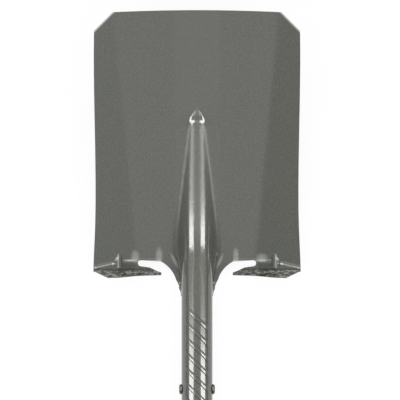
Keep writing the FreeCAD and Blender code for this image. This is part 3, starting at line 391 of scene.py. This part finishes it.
def white_floor():
    """White to the camera and in reflections, but for a tenth that takes the shadow."""
    material = bpy.data.materials.new("white_floor")
    t = Tree(material, "ShaderNodeOutputMaterial")
    paper = t.add("ShaderNodeBsdfDiffuse", Color=(FLOOR_WHITE, FLOOR_WHITE, FLOOR_WHITE, 1.0))
    glow = t.add("ShaderNodeEmission", Strength=1.0)
    rays = t.add("ShaderNodeLightPath").outputs
    kinds = ("Is Camera Ray", "Is Glossy Ray", "Is Transmission Ray")
    mix = t.add("ShaderNodeMixShader")
    t.link(t.times(t.most([rays[kind] for kind in kinds]), FLOOR_GLOW), mix.inputs[0])
    t.link(paper.outputs[0], mix.inputs[1])
    t.link(glow.outputs[0], mix.inputs[2])
    t.link(mix.outputs[0], t.output.inputs["Surface"])
    return material


bpy.ops.mesh.primitive_plane_add(size=FLOOR_SIZE, location=(0.0, 0.0, 0.0))
floor = bpy.context.object
floor.name = "floor"
floor.data.materials.append(white_floor())

# Levels of the sky, and the spans of its direction's x, y and z where they change
OVERHEAD, LOW_SKY, RISE_UP = 0.75, 0.2, (0.10, 0.45)
SIDE_SKY, LEFT_X, RIGHT_X = 0.3, (-0.52, -0.02), (0.22, 0.60)
BACK_Y = (-0.50, -0.25)
ZENITH, ZENITH_UP = 0.82, (0.93, 0.99)
RIDGE_GLOW, RIDGE_UP, RIDGE_Y = 0.75, (0.70, 0.85), ((-0.46, -0.32), (-0.20, -0.08))
FRONT_GLOW, FRONT_UP, FRONT_Y = 2.8, (0.40, 0.48), ((0.30, 0.36), (0.84, 0.90))
FRONT_X = (0.18, 0.26)


def studio_world():
    """An even grey overhead, darker low down and to the sides, with a glow at each end."""
    world = bpy.data.worlds.new("studio")
    scene.world = world
    t = Tree(world, "ShaderNodeOutputWorld")
    across, along, up = t.parts(t.add("ShaderNodeTexCoord").outputs["Generated"])

    def smooth(value, span, low, high):
        return t.remap(value, low, high, *span, kind="SMOOTHSTEP")

    def band(value, spans):
        return t.times(smooth(value, spans[0], 0.0, 1.0), smooth(value, spans[1], 1.0, 0.0))

    sides = t.times(smooth(across, LEFT_X, SIDE_SKY, 1.0), smooth(across, RIGHT_X, 1.0, SIDE_SKY))
    ahead = t.add("ShaderNodeMix")
    ahead.inputs["A"].default_value = 1.0
    t.link(smooth(along, BACK_Y, 1.0, 0.0), ahead.inputs["Factor"])
    t.link(sides, ahead.inputs["B"])
    height = t.times(smooth(up, RISE_UP, LOW_SKY, OVERHEAD), smooth(up, ZENITH_UP, 1.0, ZENITH))
    level = t.times(height, ahead.outputs["Result"])
    ridge = t.times(band(along, RIDGE_Y), smooth(up, RIDGE_UP, 0.0, RIDGE_GLOW))
    front = t.times(band(along, FRONT_Y), smooth(up, FRONT_UP, 0.0, FRONT_GLOW))
    front = t.times(front, smooth(t.size_of(across), FRONT_X, 1.0, 0.0))
    level = t.plus(t.plus(level, ridge), front)

    shade = t.add("ShaderNodeCombineColor")
    for channel in shade.inputs:
        t.link(level, channel)
    backdrop = t.add("ShaderNodeBackground")
    t.link(shade.outputs["Color"], backdrop.inputs["Color"])
    t.link(backdrop.outputs["Background"], t.output.inputs["Surface"])


studio_world()

LAMP_REACH = 2.2
LAMP_RADIANCE = 10.0
LAMP_WIDTH = 1.35
# Name, lean from upright in degrees, end next to the pan, length along the handle
LAMPS = [
    ("softbox_left", -43.0, HEEL_Y - 0.110, 0.432),
    ("softbox_right", 45.0, HEEL_Y - 0.114, 0.423),
]


def softbox(name, lean, end, long):
    """An area lamp at the side, square to the handle and turned to its axis on the floor."""
    lamp = bpy.data.lights.new(name, "AREA")
    lamp.shape = "RECTANGLE"
    lamp.size = LAMP_WIDTH
    lamp.size_y = long
    lamp.energy = LAMP_RADIANCE * math.pi * LAMP_WIDTH * long
    obj = bpy.data.objects.new(name, lamp)
    scene.collection.objects.link(obj)
    angle = math.radians(lean)
    away = Vector((math.sin(angle), 0.0, math.cos(angle)))
    side = Vector((0.0, 1.0, 0.0)).cross(away)
    turn = Matrix((side, away.cross(side), away)).transposed()
    place = away * LAMP_REACH + Vector((0.0, end - long / 2, 0.0))
    obj.matrix_world = Matrix.Translation(place) @ turn.to_4x4()
    obj.visible_camera = False


for lamp_row in LAMPS:
    softbox(*lamp_row)


# Camera: straight down, with the handle's axis a little left of the middle of the picture
DISTANCE = 18.0
FRAME_WIDTH = 0.470
FRAME_MIDDLE = (0.0035, HEEL_Y + 0.0717)
SUBJECT_Z = 0.05
camera_data = bpy.data.cameras.new("camera")
camera_data.sensor_width = 36.0
camera_data.lens = camera_data.sensor_width * DISTANCE / FRAME_WIDTH
camera_data.clip_end = 100.0
camera = bpy.data.objects.new("camera", camera_data)
camera.location = (*FRAME_MIDDLE, SUBJECT_Z + DISTANCE)
scene.collection.objects.link(camera)
scene.camera = camera

scene.view_settings.view_transform = "Standard"
